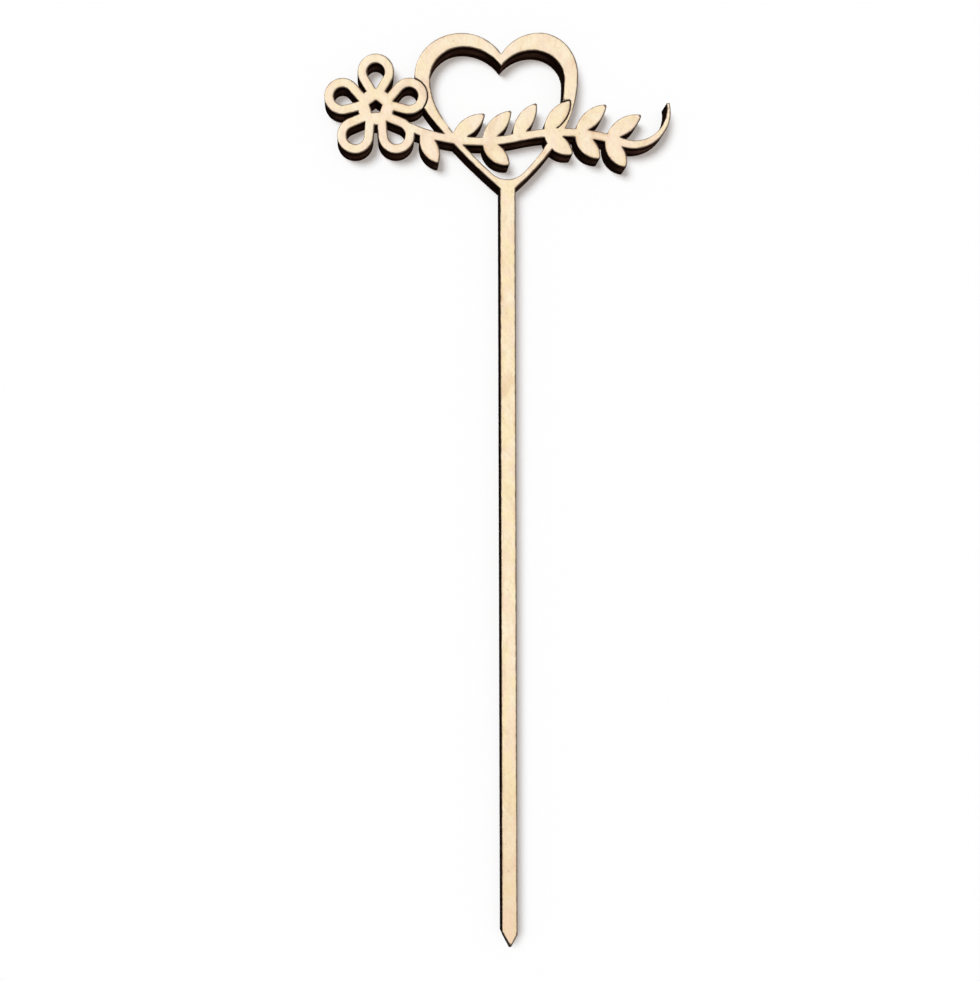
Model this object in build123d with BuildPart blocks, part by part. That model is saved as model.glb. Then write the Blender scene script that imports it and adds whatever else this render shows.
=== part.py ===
"""Cake and bouquet topper cut from one sheet of three-ply birch plywood.

A heart-shaped band stands on a long pointed stake, with an outlined blossom and a
leafy spray running across it.  The frame is upright: the origin is the tip of the
stake in the middle of the sheet, +Z runs up the stake and the front looks along -Y.
All lengths are in millimetres and all angles in degrees.
"""
from build123d import *
from math import asin, cos, degrees, radians, sin, sqrt
import os

# Sheet: two face veneers and a core, with a glue line on each side of the core
face_thickness = 1.2
core_thickness = 1.4
glue_thickness = 0.1

# Stake, up to the foot of the heart, where its two arms meet
stake_length = 246.8
stake_width = 5.0
point_length = 4.0
point_flat = 0.8

# Heart, outer edge: reaches left and right of the stake, the rise of its crowns above
# the foot, and the drops from the crowns to the notch and to the widest points.  The
# flanks' fullness is the share of the reach that is left at a share of the rise
heart_left = 30.5
heart_right = 23.2
heart_rise = 53.2
crown_left = 15.1
crown_right = 10.5
notch_left = 2.0
notch_drop = 6.9
widest_drop = 14.0
flank_share = 0.625
fullness_left = 0.80
fullness_right = 0.87
foot_angle = 50.0

# Heart, width of the band from the outer edge to the window, whose own crowns lie nearer
# to the notch, and the drop from the heart's crowns to the window's widest points
crown_band_left = 4.6
crown_band_right = 5.8
notch_band = 4.0
side_band_left = 5.1
side_band_right = 4.5
flank_band = 3.6
foot_band = 2.6
inner_crown_left = 14.4
inner_crown_right = 8.4
inner_widest_drop = 15.2
window_radius = 7.5

# Ornament across the heart, from the blossom's left petal to the tip of the spray
ornament_width = 113.3

# Blossom: five looped petals around a pierced eye, beside the heart's left widest point
blossom_gap = 12.7
blossom_drop = 10.2
petal_count = 5
petal_reach = 11.5
petal_radius = 6.0
petal_band = 3.1
eye_radius = 6.0
eye_hole_radius = 2.2

# Spray: its stem runs from the blossom by a dip and a crest to a tapering curl, whose
# levels are measured from the middle of the blossom
stem_width = 2.8
stem_angle = -38.0
dip_run = 19.2
dip_drop = 9.5
crest_right = 4.0
crest_drop = 10.0
curl_run = 15.2
curl_drop = 12.0
tip_lift = 1.0
tip_flat = 0.9

# Leaves: pairs along the stem, some of them with one leaf only
leaf_pairs = 7
first_leaf = 17.0
last_leaf = 6.0
upper_leaves = (1, 2, 3, 4, 5, 6)
lower_leaves = (0, 2, 4, 5, 6)
upper_length = 13.6
lower_length = 11.6
leaf_width = 5.2
leaf_flat = 0.6
upper_lean = 46.0
lower_lean = 42.0

# Scored lines where the blossom and one upper leaf lie over the band
scored_leaf = 4
score_width = 0.3
score_depth = 0.5

half_sheet = core_thickness / 2 + glue_thickness + face_thickness
widest_rise = heart_rise - widest_drop
inner_widest_rise = heart_rise - inner_widest_drop
flank_rise = flank_share * widest_rise
flank_left = fullness_left * heart_left
flank_right = fullness_right * heart_right
notch_rise = heart_rise - notch_drop
blossom_left = heart_left + blossom_gap
blossom_rise = widest_rise - blossom_drop
petal_left = petal_reach * sin(radians(360 / petal_count)) + petal_radius
tip_right = ornament_width - blossom_left - petal_left
tip_rise = blossom_rise + tip_lift
foot = (0, 0)
window_foot = (0, foot_band)


def heart_face(left, right, notch, widest, base):
    """Heart from its notch by the crowns and the widest points to its base.  A side is
    its reach, the place and rise of its crown, and its reach half way down the flank."""
    with BuildSketch() as heart:
        with BuildLine():
            for hand, (reach, crown, rise, flank) in ((-1, left), (1, right)):
                TangentArc((hand * crown, rise), notch, tangent=(-hand, 0))
                EllipticalCenterArc((hand * crown, widest), reach - crown,
                                    rise - widest, 45 - hand * 45, arc_size=90)
                Spline((hand * reach, widest), (hand * flank, flank_rise), base,
                       tangents=[(0, -1), (-hand * sin(radians(foot_angle)),
                                           -cos(radians(foot_angle)))])
        make_face()
    return heart.sketch


def leaf_face(pair, length, lean):
    """Leaf of two arcs with a blunt tip, growing from the middle of the stem."""
    line = stem.wire()
    pitch = (line.length - first_leaf - last_leaf) / (leaf_pairs - 1)
    place = (first_leaf + pair * pitch) / line.length
    with BuildSketch(Plane(line @ place, (line % place).rotate(Axis.Z, lean))) as leaf:
        with BuildLine():
            upper = SagittaArc((0, 0), (length, leaf_flat / 2), leaf_width / 2)
            lower = SagittaArc((length, -leaf_flat / 2), (0, 0), leaf_width / 2)
            Line(upper @ 1, lower @ 0)
        make_face()
    return leaf.sketch


def edge_line(shape):
    """Thin line that follows the edge of a shape."""
    with BuildSketch() as line:
        offset(shape, amount=score_width / 2)
        offset(shape, amount=-score_width / 2, mode=Mode.SUBTRACT)
    return line.sketch


def sheet_plane(front):
    """Plane of a layer's front face, its origin at the foot of the heart."""
    return Plane((0, front, stake_length), x_dir=(1, 0, 0), z_dir=(0, -1, 0))


# Stake: parallel sides, a blunt point below and its head inside the arms of the heart
with BuildSketch() as stake:
    with BuildLine():
        right_edge = Polyline((point_flat / 2, -stake_length),
                              (stake_width / 2, point_length - stake_length),
                              (stake_width / 2, foot_band), (0, foot_band))
        mirror(right_edge, about=Plane.YZ)
        Line((point_flat / 2, -stake_length), (-point_flat / 2, -stake_length))
    make_face()

# Heart band: broad at the crowns and thin at the foot
with BuildSketch() as window:
    add(heart_face(
        (heart_left - side_band_left, inner_crown_left, heart_rise - crown_band_left,
         flank_left - flank_band),
        (heart_right - side_band_right, inner_crown_right, heart_rise - crown_band_right,
         flank_right - flank_band),
        (-notch_left, notch_rise - notch_band), inner_widest_rise, window_foot))
    fillet(window.vertices().sort_by(Axis.Y)[0], window_radius)
with BuildSketch() as heart_band:
    add(heart_face((heart_left, crown_left, heart_rise, flank_left),
                   (heart_right, crown_right, heart_rise, flank_right),
                   (-notch_left, notch_rise), widest_rise, foot))
    add(window.sketch, mode=Mode.SUBTRACT)

# Blossom: each petal is a circle drawn out to the middle of the eye
petal_half = degrees(asin(petal_radius / petal_reach))
petal_side = sqrt(petal_reach**2 - petal_radius**2)
with BuildSketch() as petal:
    with BuildLine():
        upper_side = PolarLine((0, 0), petal_side, petal_half)
        lower_side = PolarLine((0, 0), petal_side, -petal_half)
        ThreePointArc(upper_side @ 1, (petal_reach + petal_radius, 0), lower_side @ 1)
    make_face()
with BuildSketch() as petal_hole:
    add(petal.sketch)
    offset(amount=-petal_band, mode=Mode.REPLACE)
blossom_middle = (-blossom_left, blossom_rise)
with BuildSketch() as blossom:
    with Locations(blossom_middle):
        with PolarLocations(0, petal_count, start_angle=90):
            add(petal.sketch)
        Circle(eye_radius)
with BuildSketch() as blossom_holes:
    with Locations(blossom_middle):
        with PolarLocations(0, petal_count, start_angle=90):
            add(petal_hole.sketch)
        RegularPolygon(eye_hole_radius, petal_count, rotation=90)

# Spray: three arcs of stem, the curl that tapers to the tip, and the leaves
with BuildLine() as stem:
    first = TangentArc(blossom_middle, (dip_run - blossom_left, blossom_rise - dip_drop),
                       tangent=(cos(radians(stem_angle)), sin(radians(stem_angle))))
    second = TangentArc(first @ 1, (crest_right, blossom_rise - crest_drop),
                        tangent=first % 1)
    third = TangentArc(second @ 1, (tip_right - curl_run, blossom_rise - curl_drop),
                       tangent=second % 1)
curl_start = third @ 1
curl_way = third % 1
curl_side = curl_way.rotate(Axis.Z, 90) * (stem_width / 2)
with BuildSketch() as curl:
    with BuildLine():
        outer = TangentArc(curl_start - curl_side, (tip_right, tip_rise), tangent=curl_way)
        inner = TangentArc(curl_start + curl_side, (tip_right - tip_flat, tip_rise),
                           tangent=curl_way)
        Line(outer @ 0, inner @ 0)
        Line(outer @ 1, inner @ 1)
    make_face()
with BuildSketch() as stalk:
    for arc in (first, second, third):
        SlotArc(arc, stem_width)
    add(curl.sketch)
with BuildSketch() as leaves:
    for pair in upper_leaves:
        add(leaf_face(pair, upper_length, upper_lean))
    for pair in lower_leaves:
        add(leaf_face(pair, lower_length, -lower_lean))

# Outline of the blank, and the lines scored on its front
with BuildSketch() as outline:
    add(stake.sketch)
    add(heart_band.sketch)
    add(stalk.sketch)
    add(leaves.sketch)
    add(blossom.sketch)
    add(blossom_holes.sketch, mode=Mode.SUBTRACT)
with BuildSketch() as score:
    add(edge_line(blossom.sketch))
    add(edge_line(leaf_face(scored_leaf, upper_length, upper_lean)))
    add(heart_band.sketch, mode=Mode.INTERSECT)
    add(stalk.sketch, mode=Mode.SUBTRACT)

# Front veneer: the show face, with the scored lines cut into it
with BuildPart() as front_veneer:
    with BuildSketch(sheet_plane(-half_sheet)):
        add(outline.sketch)
    extrude(amount=-face_thickness)
    with BuildSketch(sheet_plane(-half_sheet)):
        add(score.sketch)
    extrude(amount=-score_depth, mode=Mode.SUBTRACT)
front_veneer.part.label = "front_veneer"

# Front glue line, between the front veneer and the core
with BuildPart() as front_glue_line:
    with BuildSketch(sheet_plane(-core_thickness / 2 - glue_thickness)):
        add(outline.sketch)
    extrude(amount=-glue_thickness)
front_glue_line.part.label = "front_glue_line"

# Core veneer, its grain across that of the faces
with BuildPart() as core_veneer:
    with BuildSketch(sheet_plane(-core_thickness / 2)):
        add(outline.sketch)
    extrude(amount=-core_thickness)
core_veneer.part.label = "core_veneer"

# Rear glue line, between the core and the rear veneer
with BuildPart() as rear_glue_line:
    with BuildSketch(sheet_plane(core_thickness / 2)):
        add(outline.sketch)
    extrude(amount=-glue_thickness)
rear_glue_line.part.label = "rear_glue_line"

# Rear veneer: plain
with BuildPart() as rear_veneer:
    with BuildSketch(sheet_plane(core_thickness / 2 + glue_thickness)):
        add(outline.sketch)
    extrude(amount=-face_thickness)
rear_veneer.part.label = "rear_veneer"

os.makedirs("parts", exist_ok=True)
for layer in (front_veneer, front_glue_line, core_veneer, rear_glue_line, rear_veneer):
    export_step(layer.part, f"parts/{layer.part.label}.step")
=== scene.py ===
"""Cake and bouquet topper: one outline laser-cut through a glued sheet of birch plywood."""
import math

import bmesh
import bpy
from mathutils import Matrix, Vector, kdtree


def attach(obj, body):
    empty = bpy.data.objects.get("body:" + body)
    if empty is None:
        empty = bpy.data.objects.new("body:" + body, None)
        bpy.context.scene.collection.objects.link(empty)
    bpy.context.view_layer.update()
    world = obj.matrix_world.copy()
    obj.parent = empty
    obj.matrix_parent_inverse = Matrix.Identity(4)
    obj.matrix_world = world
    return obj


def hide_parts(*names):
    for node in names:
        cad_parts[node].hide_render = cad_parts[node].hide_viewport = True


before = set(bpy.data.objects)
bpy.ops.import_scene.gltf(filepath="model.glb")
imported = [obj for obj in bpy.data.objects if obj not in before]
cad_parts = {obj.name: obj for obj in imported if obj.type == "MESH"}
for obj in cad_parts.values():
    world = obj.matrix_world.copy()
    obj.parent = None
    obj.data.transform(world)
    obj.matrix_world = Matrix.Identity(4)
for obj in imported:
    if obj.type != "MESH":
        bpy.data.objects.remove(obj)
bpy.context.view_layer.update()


# Rear veneer: the plain back face, a rotary-peeled birch sheet sanded smooth.
# The laser leaves its cut wall charred and a thin burnt line around every edge.
# It is glued to the core over its whole area.

# All sizes are in metres; points closer than this lie together
same_place = 1e-6


def join_layer(node, name):
    """Copies one layer of the sheet and joins its loose triangles."""
    bpy.ops.object.select_all(action="DESELECT")
    layer = bpy.data.objects.new(name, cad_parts[node].data.copy())
    bpy.context.scene.collection.objects.link(layer)
    bpy.context.view_layer.objects.active = layer
    layer.select_set(True)
    bpy.ops.object.mode_set(mode="EDIT")
    bpy.ops.mesh.select_mode(type="VERT")
    bpy.ops.mesh.select_all(action="SELECT")
    bpy.ops.mesh.remove_doubles(threshold=same_place)
    bpy.ops.mesh.select_all(action="DESELECT")
    bpy.ops.object.mode_set(mode="OBJECT")
    layer.data.materials.clear()
    return layer


def face_level(points, side):
    """How far out the show face lies, along the way it looks: side is -1 or 1 on Y."""
    return max(side * point.co.y for point in points)


# The eased edge's width and fall, and how squarely a facet of the show face looks out
eased_width = 0.00012
eased_drop = 0.00009
square_on = 0.99


def break_edge(layer, side):
    """Eases the sharp edge of the show face."""
    bpy.ops.object.mode_set(mode="EDIT")
    bpy.ops.mesh.select_mode(type="FACE")
    bpy.ops.mesh.select_all(action="DESELECT")
    mesh = bmesh.from_edit_mesh(layer.data)
    level = face_level(mesh.verts, side)
    for face in mesh.faces:
        flat = side * face.normal.y > square_on
        face.select_set(flat and side * face.calc_center_median().y > level - same_place)
    bpy.ops.mesh.inset(thickness=eased_width, depth=0, use_even_offset=True)
    mesh = bmesh.from_edit_mesh(layer.data)
    inner = {vertex for face in mesh.faces if face.select for vertex in face.verts}
    edge = [v for v in mesh.verts if v not in inner and side * v.co.y > level - same_place]
    bpy.ops.mesh.select_all(action="DESELECT")
    bpy.ops.mesh.select_mode(type="VERT")
    for vertex in edge:
        vertex.select_set(True)
    bpy.ops.transform.translate(value=(0, -side * eased_drop, 0))
    bpy.ops.mesh.select_all(action="DESELECT")
    bpy.ops.object.mode_set(mode="OBJECT")


most_rounds = 12


def refine_face(layer, side, longest, narrowest):
    """Divides the show face until no edge inside it is longer than longest, and none that
    crosses a narrow strip from rim to rim is longer than narrowest."""
    bpy.ops.object.mode_set(mode="EDIT")
    bpy.ops.mesh.select_mode(type="EDGE")
    for step in range(most_rounds):
        bpy.ops.mesh.select_all(action="DESELECT")
        mesh = bmesh.from_edit_mesh(layer.data)
        floor = face_level(mesh.verts, side) - same_place
        below = [face for face in mesh.faces
                 if min(side * vertex.co.y for vertex in face.verts) < floor]
        rim_points = {vertex for face in below for vertex in face.verts}
        rim_edges = {edge for face in below for edge in face.edges}
        long_edges = []
        for edge in mesh.edges:
            crossing = edge not in rim_edges and all(v in rim_points for v in edge.verts)
            limit = narrowest if crossing else longest
            if edge.calc_length() > limit and all(side * v.co.y > floor for v in edge.verts):
                long_edges.append(edge)
        if not long_edges:
            break
        for edge in long_edges:
            edge.select_set(True)
        bpy.ops.mesh.subdivide(number_cuts=1)
    bpy.ops.mesh.select_all(action="SELECT")
    bpy.ops.mesh.quads_convert_to_tris(quad_method="BEAUTY", ngon_method="BEAUTY")
    bpy.ops.mesh.select_all(action="DESELECT")
    bpy.ops.object.mode_set(mode="OBJECT")


# A wall shallower than the first is that of a scored line; the next two are how much farther
# off such a line counts, and how much nearer an edge that looks right
deepest_score = 0.0007
score_pale = 0.00012
# Counting edges that look right as nearer widens their burnt line into painted shadow along that
# side
painted_shadow_drift = 0.00012
sample_step = 0.0001
to_millimetres = 1000


def measure_rim(layer, side, reach):
    """Stores on each point of the show face its distance in millimetres from the nearest cut
    edge, and no more than reach.  A scored line, whose wall is shallow, counts as a little
    farther off.  The more another edge looks right, the nearer it counts, so that its burnt
    line widens into painted shadow on that side, and narrows on edges that look left."""
    mesh = bmesh.new()
    mesh.from_mesh(layer.data)
    level = face_level(mesh.verts, side)
    samples = []
    for edge in mesh.edges:
        start, end = (vertex.co for vertex in edge.verts)
        if any(abs(level - side * point.y - eased_drop) > same_place for point in (start, end)):
            continue
        depth = max(level - side * v.co.y for face in edge.link_faces for v in face.verts)
        wall = min(edge.link_faces, key=lambda face: abs(face.normal.y))
        extra = score_pale if depth < deepest_score else -painted_shadow_drift * wall.normal.x
        count = max(1, int((end - start).length / sample_step))
        samples += [(start.lerp(end, part / count), extra) for part in range(count + 1)]
    tree = kdtree.KDTree(len(samples))
    for index, (point, extra) in enumerate(samples):
        tree.insert((point.x, 0, point.z), index)
    tree.balance()
    rim = layer.data.attributes.new("rim", "FLOAT", "POINT")
    for index, vertex in enumerate(layer.data.vertices):
        if side * vertex.co.y > level - eased_drop - same_place:
            point, nearest, distance = tree.find((vertex.co.x, 0, vertex.co.z))
            rim.data[index].value = min(distance + samples[nearest][1], reach) * to_millimetres
    mesh.free()


# Facets whose normals agree more than this belong to one wall
one_wall = 0.5


def mark_painted_side_light(layer):
    """Stores on each corner how far its wall looks to the right, from 0 to 1, evened out
    over the wall's facets that meet there.  It sets painted light and shade on the cut walls."""
    mesh = bmesh.new()
    mesh.from_mesh(layer.data)
    marks = []
    for face in mesh.faces:
        for vertex in face.verts:
            wall = [near for near in vertex.link_faces if near.normal.dot(face.normal) > one_wall]
            way = sum((near.normal * near.calc_area() for near in wall), Vector())
            marks.append((1 + way.normalized().x) / 2)
    mesh.free()
    painted_side_light = layer.data.attributes.new("painted_side_light", "FLOAT", "CORNER")
    painted_side_light.data.foreach_set("value", marks)


smooth_below = math.radians(35)


def paint_layer(layer, side, edge_shown, face_finish, wall_finish):
    """Gives the show face, down to edge_shown below it, one finish and the cut walls the other."""
    layer.data.materials.append(face_finish)
    layer.data.materials.append(wall_finish)
    level = face_level(layer.data.vertices, side)
    for face in layer.data.polygons:
        lowest = min(side * layer.data.vertices[i].co.y for i in face.vertices)
        face.material_index = 0 if lowest > level - edge_shown else 1
    bpy.ops.object.select_all(action="DESELECT")
    layer.select_set(True)
    bpy.context.view_layer.objects.active = layer
    bpy.ops.object.shade_smooth_by_angle(angle=smooth_below)


node_gap = 220


def place(tree, kind, **settings):
    """Adds a shader node to the right of the last one and sets its own settings."""
    made = tree.nodes.new(kind)
    made.location.x = node_gap * len(tree.nodes)
    for key, value in settings.items():
        setattr(made, key, value)
    return made


def scaled_noise(tree, vector, scale, detail=2.0, roughness=0.5, distortion=0.0):
    """Noise with its own scale across, through and along the sheet, for each metre."""
    mapping = place(tree, "ShaderNodeMapping")
    mapping.inputs["Scale"].default_value = scale
    tree.links.new(vector, mapping.inputs["Vector"])
    noise = place(tree, "ShaderNodeTexNoise")
    noise.inputs["Scale"].default_value = 1.0
    noise.inputs["Detail"].default_value = detail
    noise.inputs["Roughness"].default_value = roughness
    noise.inputs["Distortion"].default_value = distortion
    tree.links.new(mapping.outputs["Vector"], noise.inputs["Vector"])
    return noise.outputs["Fac"]


def remap(tree, value, low, high, at_low, at_high, smooth=True):
    """Maps a value so that it is at_low up to low and at_high from high on."""
    step = place(tree, "ShaderNodeMapRange", clamp=True)
    step.interpolation_type = "SMOOTHSTEP" if smooth else "LINEAR"
    step.inputs["From Min"].default_value = low
    step.inputs["From Max"].default_value = high
    step.inputs["To Min"].default_value = at_low
    step.inputs["To Max"].default_value = at_high
    tree.links.new(value, step.inputs["Value"])
    return step.outputs["Result"]


def scatter(tree, vector, scale, start, full, most, least=0.0, **grain):
    """A mask of scattered marks: noise that rises from least at start to most at full."""
    return remap(tree, scaled_noise(tree, vector, scale, **grain), start, full, least, most)


# The colour sockets of a Mix node, which share their names with its other sockets
mix_first = 6
mix_second = 7
mix_result = 2


def blend_colour(tree, mask, first, second):
    """Mixes two colours, each a socket or a plain colour, by a mask."""
    mix = place(tree, "ShaderNodeMix", data_type="RGBA")
    tree.links.new(mask, mix.inputs["Factor"])
    for socket, colour in ((mix.inputs[mix_first], first), (mix.inputs[mix_second], second)):
        if isinstance(colour, tuple):
            socket.default_value = (*colour, 1.0)
        else:
            tree.links.new(colour, socket)
    return mix.outputs[mix_result]


def combine(tree, how, first, second):
    """Joins two values with one operation."""
    joined = place(tree, "ShaderNodeMath", operation=how)
    tree.links.new(first, joined.inputs[0])
    tree.links.new(second, joined.inputs[1])
    return joined.outputs["Value"]


def split(tree, vector):
    """Takes a place apart into X, Y and Z."""
    parts = place(tree, "ShaderNodeSeparateXYZ")
    tree.links.new(vector, parts.inputs["Vector"])
    return parts.outputs


def new_group(name, inputs, outputs):
    """Starts a shader node group with named sockets."""
    tree = bpy.data.node_groups.new(name, "ShaderNodeTree")
    for label, kind in inputs.items():
        tree.interface.new_socket(name=label, in_out="INPUT", socket_type=kind)
    for label, kind in outputs.items():
        tree.interface.new_socket(name=label, in_out="OUTPUT", socket_type=kind)
    return tree, place(tree, "NodeGroupInput"), place(tree, "NodeGroupOutput")


a_place = "NodeSocketVector"
a_colour = "NodeSocketColor"
a_number = "NodeSocketFloat"


def draw_birch_figure():
    """Group for sanded birch: pink and straw patches, pale clouds, a faint curl across the
    grain, and fine streaks, pores and flecks along it.  The wood is darker towards the tip
    of the stake and paler at the top of the heart."""
    curl_slant = math.radians(38)
    curl_tint = (0.78, 0.55, 0.35)
    tip_tint = (0.714, 0.466, 0.271)
    top_tint = (0.925, 0.805, 0.695)
    shade_tint = (0.74, 0.50, 0.30)
    mottle_tint = (0.66, 0.46, 0.29)
    streak_tint = (0.78, 0.54, 0.32)
    pore_tint = (0.55, 0.33, 0.17)
    fleck_tint = (0.42, 0.24, 0.11)
    group, taken, given = new_group(
        "birch_figure",
        {"Vector": a_place, "Pale": a_colour, "Pink": a_colour, "Straw": a_colour},
        {"Colour": a_colour, "Roughness": a_number, "Height": a_number})
    spot = taken.outputs["Vector"]
    slanted = place(group, "ShaderNodeMapping")
    slanted.inputs["Rotation"].default_value = (0, curl_slant, 0)
    group.links.new(spot, slanted.inputs["Vector"])
    height = split(group, spot)["Z"]

    patches = scatter(group, spot, scale=(190, 190, 105), start=0.38, full=0.62, most=1.0,
                      detail=3.0, roughness=0.55, distortion=1.0)
    clouds = scatter(group, spot, scale=(260, 260, 150), start=0.42, full=0.70, most=0.8,
                     detail=3.0, roughness=0.6, distortion=0.5)
    curl = scatter(group, slanted.outputs["Vector"], scale=(900, 900, 170), start=0.48, full=0.75,
                   most=0.22)
    ageing = remap(group, height, low=0.010, high=0.088, at_low=0.34, at_high=0.0)
    paling = remap(group, height, low=0.235, high=0.262, at_low=0.0, at_high=0.20)
    shade = scatter(group, spot, scale=(125, 125, 85), start=0.50, full=0.74, most=0.48,
                    detail=3.0, roughness=0.55, distortion=0.8)
    mottle = scatter(group, spot, scale=(1300, 1300, 1000), start=0.40, full=0.70, most=0.15,
                     roughness=0.6)
    fibres = scaled_noise(group, spot, scale=(1500, 1500, 60), detail=3.0, roughness=0.6,
                          distortion=0.3)
    streaks = remap(group, fibres, low=0.45, high=0.75, at_low=0.0, at_high=0.12)
    pores = scatter(group, spot, scale=(5200, 5200, 420), start=0.66, full=0.76, most=0.16,
                    detail=1.0)
    flecks = scatter(group, spot, scale=(1150, 1150, 620), start=0.72, full=0.80, most=0.34,
                     detail=1.0)

    tint = blend_colour(group, patches, taken.outputs["Pink"], taken.outputs["Straw"])
    tint = blend_colour(group, clouds, tint, taken.outputs["Pale"])
    for mask, mark_tint in ((curl, curl_tint), (ageing, tip_tint), (paling, top_tint),
                            (shade, shade_tint), (mottle, mottle_tint), (streaks, streak_tint),
                            (pores, pore_tint), (flecks, fleck_tint)):
        tint = blend_colour(group, mask, tint, mark_tint)
    sanded = remap(group, fibres, low=0.3, high=0.7, at_low=0.52, at_high=0.66)
    group.links.new(tint, given.inputs["Colour"])
    group.links.new(sanded, given.inputs["Roughness"])
    group.links.new(combine(group, "SUBTRACT", fibres, pores), given.inputs["Height"])
    return group


def draw_scorched_rim():
    """Group for the cut edge: a thin burnt line that wavers, inside a faint uneven smoke
    stain.  Rim is the distance from the edge in millimetres.  Along the left of the stake's
    point the line is wider and black."""
    smoke_tint = (0.66, 0.36, 0.14)
    line_tint = (0.150, 0.102, 0.070)
    point_tint = (0.003, 0.002, 0.0015)
    group, taken, given = new_group(
        "scorched_rim",
        {"Vector": a_place, "Rim": a_number, "Face": a_colour, "Smoke": a_number},
        {"Colour": a_colour})
    spot = taken.outputs["Vector"]
    along = split(group, spot)

    uneven = scaled_noise(group, spot, scale=(420, 420, 420), roughness=0.6)
    waver = remap(group, uneven, low=0.3, high=0.7, at_low=-0.08, at_high=0.10, smooth=False)
    near = combine(group, "ADD", taken.outputs["Rim"], waver)
    at_point = remap(group, along["Z"], low=0.0043, high=0.0053, at_low=0.56, at_high=0.0)
    at_left = remap(group, along["X"], low=-0.0003, high=0.0007, at_low=1.0, at_high=0.12)
    widened = combine(group, "MULTIPLY", at_point, at_left)
    to_line = combine(group, "SUBTRACT", near, widened)
    line = remap(group, to_line, low=0.14, high=0.46, at_low=1.0, at_high=0.0)
    blackened = remap(group, widened, low=0.0, high=0.42, at_low=0.0, at_high=1.0)

    patchy = scatter(group, spot, scale=(70, 70, 70), start=0.50, full=0.72, least=0.15, most=1.0)
    stain = remap(group, near, low=0.1, high=1.5, at_low=1.0, at_high=0.0)
    stain = combine(group, "MULTIPLY", stain, patchy)
    stain = combine(group, "MULTIPLY", stain, taken.outputs["Smoke"])

    smoked = blend_colour(group, stain, taken.outputs["Face"], smoke_tint)
    burn = blend_colour(group, blackened, line_tint, point_tint)
    group.links.new(blend_colour(group, line, smoked, burn), given.inputs["Colour"])
    return group


def draw_charred_cut():
    """Group for the cut wall: soot over brown wood, with fine upright marks that the pulsing
    beam leaves.  Over it goes painted shade on the walls that look left, nearly black, and
    painted light on those that look right, lighter brown."""
    soot_in_painted_shade = (0.008, 0.004, 0.0025)
    group, taken, given = new_group(
        "charred_cut",
        {"Vector": a_place, "Lee": a_number, "Soot": a_colour, "Brown": a_colour},
        {"Colour": a_colour, "Roughness": a_number, "Height": a_number})
    spot = taken.outputs["Vector"]

    beam = scaled_noise(group, spot, scale=(2600, 90, 2600), roughness=0.6)
    grit = scaled_noise(group, spot, scale=(6000, 6000, 6000), detail=1.0)
    bare = scatter(group, spot, scale=(150, 500, 150), start=0.42, full=0.72, most=1.0,
                   detail=3.0, roughness=0.6)
    striped = remap(group, beam, low=0.3, high=0.7, at_low=0.35, at_high=1.0)
    worn = combine(group, "MULTIPLY", bare, striped)
    # Painted light and shade by the way the wall looks: darker to the left, lighter to the right
    side_light_mask = remap(group, taken.outputs["Lee"], low=0.10, high=0.50, at_low=0.0, at_high=1.0)

    brown_wear_and_side_light = blend_colour(group, worn, taken.outputs["Soot"], taken.outputs["Brown"])
    brown_wear_and_side_light = blend_colour(group, side_light_mask, soot_in_painted_shade, brown_wear_and_side_light)
    dull = remap(group, worn, low=0.0, high=1.0, at_low=0.82, at_high=0.62)
    group.links.new(brown_wear_and_side_light, given.inputs["Colour"])
    group.links.new(dull, given.inputs["Roughness"])
    group.links.new(combine(group, "ADD", beam, grit), given.inputs["Height"])
    return group


def use_group(tree, group, **values):
    """Places a node group, with a link or a plain colour or number for each input."""
    node = place(tree, "ShaderNodeGroup", node_tree=group)
    for label, value in values.items():
        if isinstance(value, tuple):
            node.inputs[label].default_value = (*value, 1.0)
        elif isinstance(value, float):
            node.inputs[label].default_value = value
        else:
            tree.links.new(value, node.inputs[label])
    return node


def start_finish(name, gloss, attribute):
    """Starts a material, and gives the place on the piece and one of its stored values."""
    finish = bpy.data.materials.new(name)
    finish.use_nodes = True
    tree = finish.node_tree
    shader = tree.nodes["Principled BSDF"]
    shader.inputs["Specular IOR Level"].default_value = gloss
    spot = place(tree, "ShaderNodeTexCoord").outputs["Object"]
    stored = place(tree, "ShaderNodeAttribute", attribute_name=attribute).outputs["Fac"]
    return finish, tree, shader, spot, stored


relief_depth = 0.0001


def link_finish(tree, shader, colour, marks, relief):
    """Gives the shader its colour, and the roughness and relief of a group of marks."""
    bump = place(tree, "ShaderNodeBump")
    bump.inputs["Strength"].default_value = relief
    bump.inputs["Distance"].default_value = relief_depth
    tree.links.new(marks.outputs["Height"], bump.inputs["Height"])
    tree.links.new(colour, shader.inputs["Base Color"])
    tree.links.new(marks.outputs["Roughness"], shader.inputs["Roughness"])
    tree.links.new(bump.outputs["Normal"], shader.inputs["Normal"])


birch_figure = draw_birch_figure()
scorched_rim = draw_scorched_rim()
charred_cut = draw_charred_cut()


def birch_finish(name, pale, pink, straw, smoke):
    """Sanded birch with its figure, burnt line and smoke stain."""
    finish, tree, shader, spot, rim = start_finish(name, gloss=0.25, attribute="rim")
    figure = use_group(tree, birch_figure, Vector=spot, Pale=pale, Pink=pink, Straw=straw)
    scorch = use_group(tree, scorched_rim, Vector=spot, Rim=rim, Face=figure.outputs["Colour"],
                       Smoke=smoke)
    link_finish(tree, shader, scorch.outputs["Colour"], figure, relief=0.12)
    return finish


def charred_finish(name, soot, brown):
    """Cut wall burnt by the beam."""
    finish, tree, shader, spot, painted_side_light = start_finish(name, gloss=0.0, attribute="painted_side_light")
    char = use_group(tree, charred_cut, Vector=spot, Lee=painted_side_light, Soot=soot, Brown=brown)
    link_finish(tree, shader, char.outputs["Colour"], char, relief=0.35)
    return finish


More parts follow.
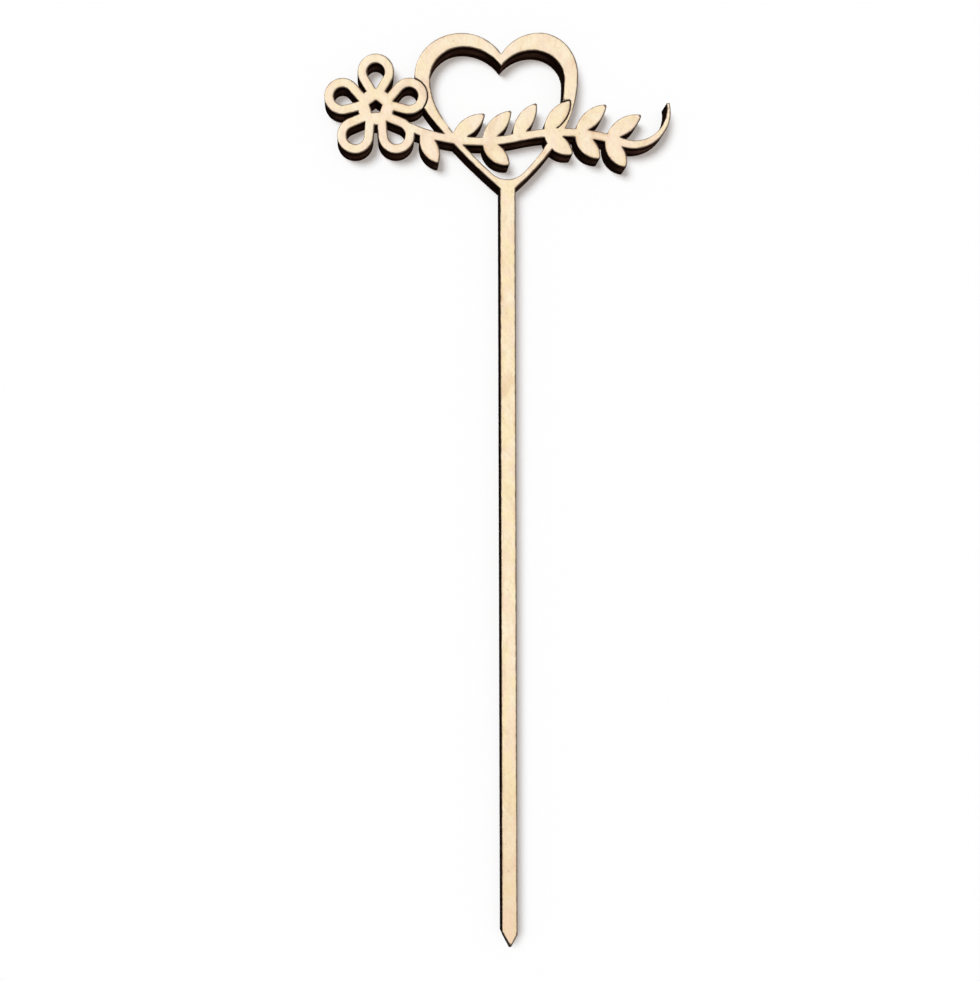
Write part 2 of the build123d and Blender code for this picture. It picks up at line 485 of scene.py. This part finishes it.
veneer_char = charred_finish("charred_veneer_edge", soot=(0.015, 0.0058, 0.0036),
                             brown=(0.049, 0.020, 0.011))
birch_back = birch_finish("sanded_birch_back", pale=(0.94, 0.77, 0.54), pink=(0.89, 0.67, 0.47),
                          straw=(0.88, 0.69, 0.41), smoke=0.75)
back = 1
face_step = 0.0011
strip_step = 0.0002
rim_reach = 0.003
back_edge_shown = 0.00001
rear_veneer = join_layer("rear_veneer", "rear_veneer_sheet")
break_edge(rear_veneer, back)
refine_face(rear_veneer, back, face_step, strip_step)
measure_rim(rear_veneer, back, rim_reach)
paint_layer(rear_veneer, back, back_edge_shown, birch_back, veneer_char)
mark_painted_side_light(rear_veneer)
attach(rear_veneer, "root")
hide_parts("rear_veneer")


# Rear glue line: a film of cured resin glue between the core and the rear veneer.
# Only its edge shows, as a black hairline baked by the beam.

glue_char = charred_finish("baked_glue_edge", soot=(0.007, 0.004, 0.003),
                           brown=(0.023, 0.011, 0.007))
rear_glue = join_layer("rear_glue_line", "rear_glue_film")
mark_painted_side_light(rear_glue)
rear_glue.data.materials.append(glue_char)
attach(rear_glue, "root")
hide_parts("rear_glue_line")


# Core veneer: the middle ply, a birch sheet laid with its grain across that of the faces.
# Its cut wall is burnt too, but shows more brown than the walls of the faces.

core_char = charred_finish("charred_core_edge", soot=(0.050, 0.022, 0.015),
                           brown=(0.140, 0.066, 0.047))
core_veneer = join_layer("core_veneer", "core_veneer_sheet")
core_veneer.data.materials.append(core_char)
bpy.ops.object.shade_smooth_by_angle(angle=smooth_below)
mark_painted_side_light(core_veneer)
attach(core_veneer, "root")
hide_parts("core_veneer")


# Front glue line: the same film of cured resin, between the front veneer and the core.
# Its edge is baked black by the beam as well.

front_glue = join_layer("front_glue_line", "front_glue_film")
mark_painted_side_light(front_glue)
front_glue.data.materials.append(glue_char)
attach(front_glue, "root")
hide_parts("front_glue_line")


# Front veneer: the show face, pale birch, sanded and without varnish, glued to the core.
# Two thin lines are scored into it where the blossom and a leaf lie over the heart.

birch_face = birch_finish("sanded_birch_face", pale=(0.995, 0.887, 0.660),
                          pink=(0.976, 0.776, 0.575), straw=(0.965, 0.813, 0.511), smoke=0.45)
front = -1
front_edge_shown = 0.0001
front_veneer = join_layer("front_veneer", "front_veneer_sheet")
break_edge(front_veneer, front)
refine_face(front_veneer, front, face_step, strip_step)
measure_rim(front_veneer, front, rim_reach)
paint_layer(front_veneer, front, front_edge_shown, birch_face, veneer_char)
mark_painted_side_light(front_veneer)
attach(front_veneer, "root")
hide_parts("front_veneer")


# Studio sheet: white paper just behind the topper, which takes its shadow.
# It glows a little, so that the shadow stays pale, and it is clear from behind, so that
# the back of the topper shows.

sheet_side = 1.6
sheet_back = 0.00206
sheet_middle = 0.15
paper_tone = (0.662, 0.702, 0.730, 1)
glow_tone = (0.330, 0.290, 0.262, 1)
thrown_tone = (0.6, 0.6, 0.6, 1)
bpy.ops.object.select_all(action="DESELECT")
bpy.ops.mesh.primitive_plane_add(size=sheet_side, location=(0, sheet_back, sheet_middle),
                                 rotation=(math.pi / 2, 0, 0))
backdrop = bpy.context.object
backdrop.name = "backdrop"
backdrop.visible_glossy = False
backdrop.visible_shadow = False
white_sheet = bpy.data.materials.new("white_sheet")
white_sheet.use_nodes = True
sheet_tree = white_sheet.node_tree
sheet_tree.nodes.clear()
paper = place(sheet_tree, "ShaderNodeBsdfDiffuse")
paper.inputs["Color"].default_value = paper_tone
glow = place(sheet_tree, "ShaderNodeEmission")
glow.inputs["Color"].default_value = glow_tone
lit = place(sheet_tree, "ShaderNodeAddShader")
thrown = place(sheet_tree, "ShaderNodeEmission")
thrown.inputs["Color"].default_value = thrown_tone
sheet_ray = place(sheet_tree, "ShaderNodeLightPath")
seen_or_thrown = place(sheet_tree, "ShaderNodeMixShader")
clear = place(sheet_tree, "ShaderNodeBsdfTransparent")
behind = place(sheet_tree, "ShaderNodeNewGeometry")
sheet_choice = place(sheet_tree, "ShaderNodeMixShader")
surface = place(sheet_tree, "ShaderNodeOutputMaterial")
sheet_tree.links.new(paper.outputs["BSDF"], lit.inputs[0])
sheet_tree.links.new(glow.outputs["Emission"], lit.inputs[1])
sheet_tree.links.new(sheet_ray.outputs["Is Diffuse Ray"], seen_or_thrown.inputs["Fac"])
sheet_tree.links.new(lit.outputs["Shader"], seen_or_thrown.inputs[1])
sheet_tree.links.new(thrown.outputs["Emission"], seen_or_thrown.inputs[2])
sheet_tree.links.new(behind.outputs["Backfacing"], sheet_choice.inputs["Fac"])
sheet_tree.links.new(seen_or_thrown.outputs["Shader"], sheet_choice.inputs[1])
sheet_tree.links.new(clear.outputs["BSDF"], sheet_choice.inputs[2])
sheet_tree.links.new(sheet_choice.outputs["Shader"], surface.inputs["Surface"])
backdrop.data.materials.append(white_sheet)


# Studio light: a white room that lights the topper only faintly, a broad key light from the
# upper left in front of it, and a second broad light for its back.

white = (1, 1, 1, 1)
room_light = 0.18
world = bpy.data.worlds.new("white_studio")
bpy.context.scene.world = world
world.use_nodes = True
room = world.node_tree
room.nodes.clear()
seen = place(room, "ShaderNodeBackground")
seen.inputs["Color"].default_value = white
seen.inputs["Strength"].default_value = 1.0
ambient = place(room, "ShaderNodeBackground")
ambient.inputs["Color"].default_value = white
ambient.inputs["Strength"].default_value = room_light
room_ray = place(room, "ShaderNodeLightPath").outputs
looked_at = combine(room, "MAXIMUM", room_ray["Is Camera Ray"], room_ray["Is Glossy Ray"])
looked_at = combine(room, "MAXIMUM", looked_at, room_ray["Is Transmission Ray"])
room_choice = place(room, "ShaderNodeMixShader")
sky = place(room, "ShaderNodeOutputWorld")
room.links.new(looked_at, room_choice.inputs["Fac"])
room.links.new(ambient.outputs["Background"], room_choice.inputs[1])
room.links.new(seen.outputs["Background"], room_choice.inputs[2])
room.links.new(room_choice.outputs["Shader"], sky.inputs["Surface"])


def shine(name, towards, strength, spread):
    """A soft studio light from far off, shining along a direction."""
    bpy.ops.object.select_all(action="DESELECT")
    bpy.ops.object.light_add(type="SUN")
    lamp = bpy.context.object
    lamp.name = name
    lamp.rotation_euler = Vector(towards).to_track_quat("-Z", "Y").to_euler()
    lamp.data.energy = strength
    lamp.data.angle = math.radians(spread)


shine("key_light", towards=(0.62, 1.00, -0.35), strength=3.20, spread=36)
shine("rear_light", towards=(-0.40, -0.90, -0.45), strength=1.75, spread=40)


# Camera: square to the face, a little left of the stake and below the heart.
# Its picture is shifted, in pixels, so that the topper stands where the photograph has it.

eye_place = (-0.050, -0.217, 0.1174)
eye_roll = math.radians(0.16)
face_distance = 0.215
picture_side = 981
pixel_on_face = 0.000328
shift_right = 133.4
shift_up = 99.2
film_side = 36
camera = bpy.data.cameras.new("camera")
eye = bpy.data.objects.new("camera", camera)
bpy.context.scene.collection.objects.link(eye)
eye.location = eye_place
eye.rotation_euler = (math.pi / 2, eye_roll, 0)
camera.sensor_width = film_side
camera.lens = film_side * face_distance / (picture_side * pixel_on_face)
camera.shift_x = shift_right / picture_side
camera.shift_y = shift_up / picture_side
camera.clip_start = 0.01
bpy.context.scene.camera = eye
bpy.context.scene.view_settings.view_transform = "Standard"
